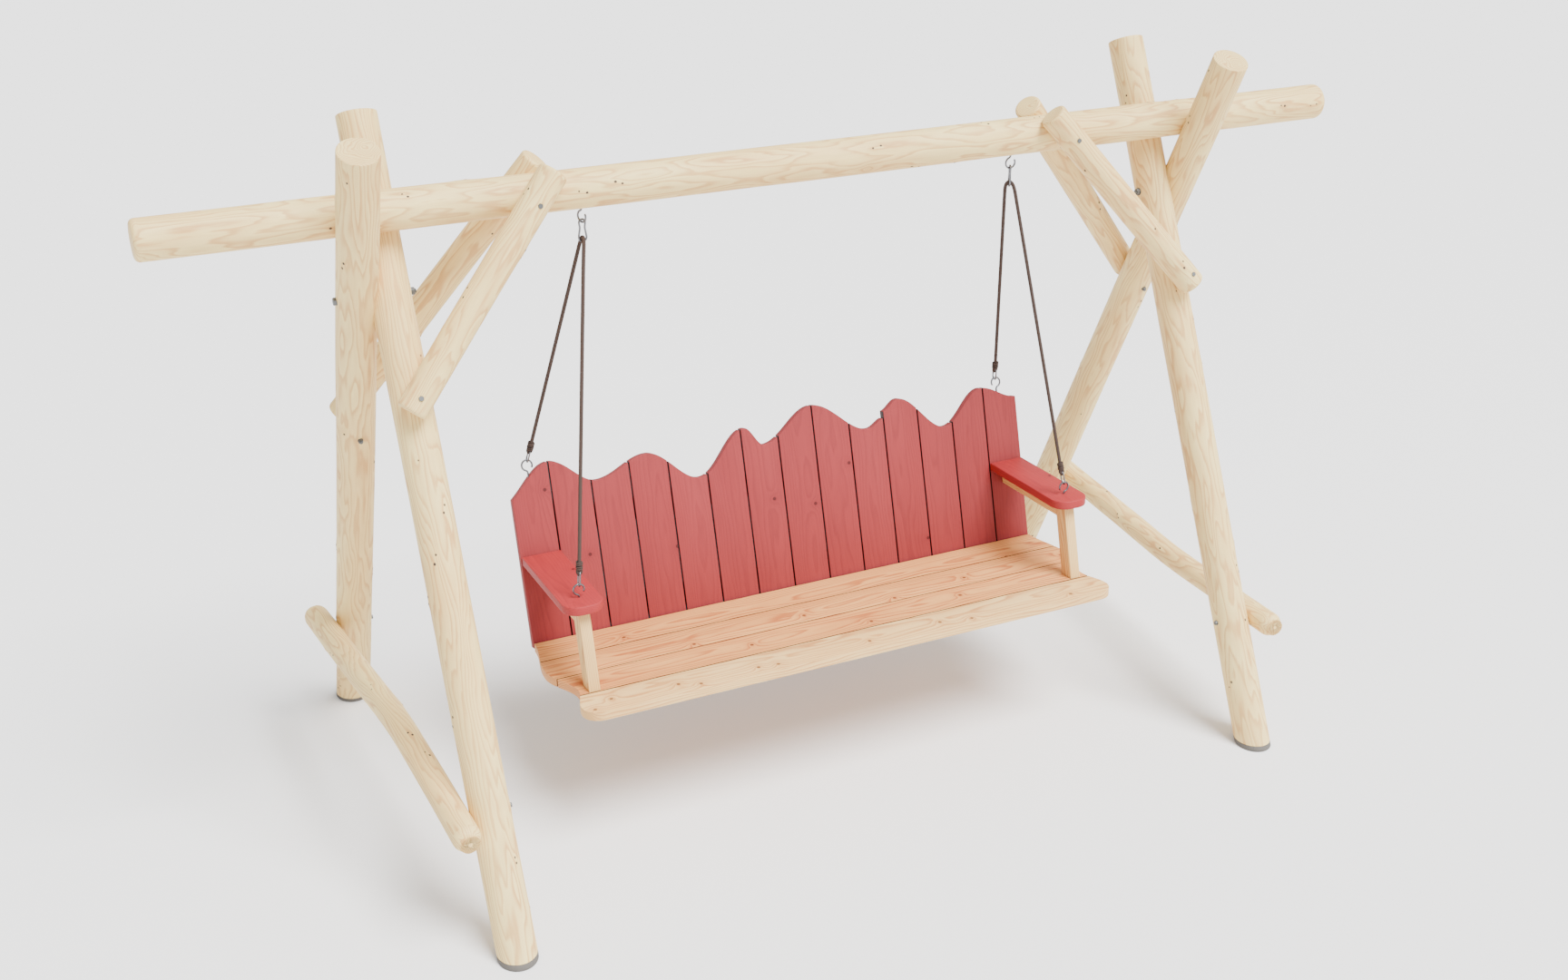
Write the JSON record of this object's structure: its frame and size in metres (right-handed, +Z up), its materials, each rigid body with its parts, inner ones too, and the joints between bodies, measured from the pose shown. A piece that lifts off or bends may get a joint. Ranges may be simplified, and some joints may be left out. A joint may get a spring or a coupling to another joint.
{
  "type": "porch swing",
  "caption": "Log-framed porch swing: a board bench with a wavy backrest and armrests hangs on ropes from a round beam held by crossed pole legs and braces.",
  "frame": {"origin": "on the ground, straight below the middle of the beam", "axes": "+X along the beam to the right of someone facing the bench, -Y towards that person, +Z up"},
  "size_m": [3.64, 1.6375, 2.0531],
  "materials": {
    "peeled_log": "peeled, sanded smooth, unvarnished",
    "pale_board": "planed softwood, oiled",
    "red_stained_board": "planed softwood under a red stain that lets the grain show",
    "brown_rope": "braided cord, matt",
    "steel_wire": "bright drawn wire",
    "zinc_fastener": "dull zinc plating",
    "foot_rubber": "matt moulded rubber"
  },
  "bodies": {
    "frame": {"beam": "peeled_log", "leg_front_left": "peeled_log", "leg_front_right": "peeled_log", "leg_back_left": "peeled_log", "leg_back_right": "peeled_log", "foot_pads": "foot_rubber", "low_rail_left": "peeled_log", "low_rail_right": "peeled_log", "brace_front_left": "peeled_log", "brace_front_right": "peeled_log", "brace_back_left": "peeled_log", "brace_back_right": "peeled_log", "brace_bolts": "zinc_fastener", "crossing_bolts": "zinc_fastener", "coach_screws": "zinc_fastener", "beam_hooks": "steel_wire"},
    "top_links": {"top_link_left": "steel_wire", "top_link_right": "steel_wire"},
    "swing": {"rope_left": "brown_rope", "rope_right": "brown_rope", "rope_knots_left": "brown_rope", "rope_knots_right": "brown_rope", "bench_links": "steel_wire", "bench_hooks": "steel_wire", "seat_board_1": "pale_board", "seat_board_2": "pale_board", "seat_board_3": "pale_board", "seat_board_4": "pale_board", "back_board_01": "red_stained_board", "back_board_02": "red_stained_board", "back_board_03": "red_stained_board", "back_board_04": "red_stained_board", "back_board_05": "red_stained_board", "back_board_06": "red_stained_board", "back_board_07": "red_stained_board", "back_board_08": "red_stained_board", "back_board_09": "red_stained_board", "back_board_10": "red_stained_board", "back_board_11": "red_stained_board", "back_board_12": "red_stained_board", "back_board_13": "red_stained_board", "back_board_14": "red_stained_board", "armrest_left": "red_stained_board", "armrest_right": "red_stained_board", "arm_rail_left": "pale_board", "arm_rail_right": "pale_board", "arm_post_left": "pale_board", "arm_post_right": "pale_board", "bearer_left": "pale_board", "bearer_middle": "pale_board", "bearer_right": "pale_board", "stile_left": "pale_board", "stile_middle": "pale_board", "stile_right": "pale_board", "batten_lower": "pale_board", "batten_upper": "pale_board", "seat_screws": "zinc_fastener", "back_screws": "zinc_fastener", "arm_screws": "zinc_fastener", "bench_bolts": "zinc_fastener"}
  },
  "joints": [
    {"name": "link_hinge", "type": "hinge", "parent": "frame", "child": "top_links", "pos_m": [0, 0, 1.7298], "axis": [1, 0, 0], "range_deg": [-20, 20]},
    {"name": "rope_hinge", "type": "hinge", "parent": "top_links", "child": "swing", "pos_m": [0, 0, 1.6727], "axis": [1, 0, 0], "range_deg": [-12, 12]}
  ]
}
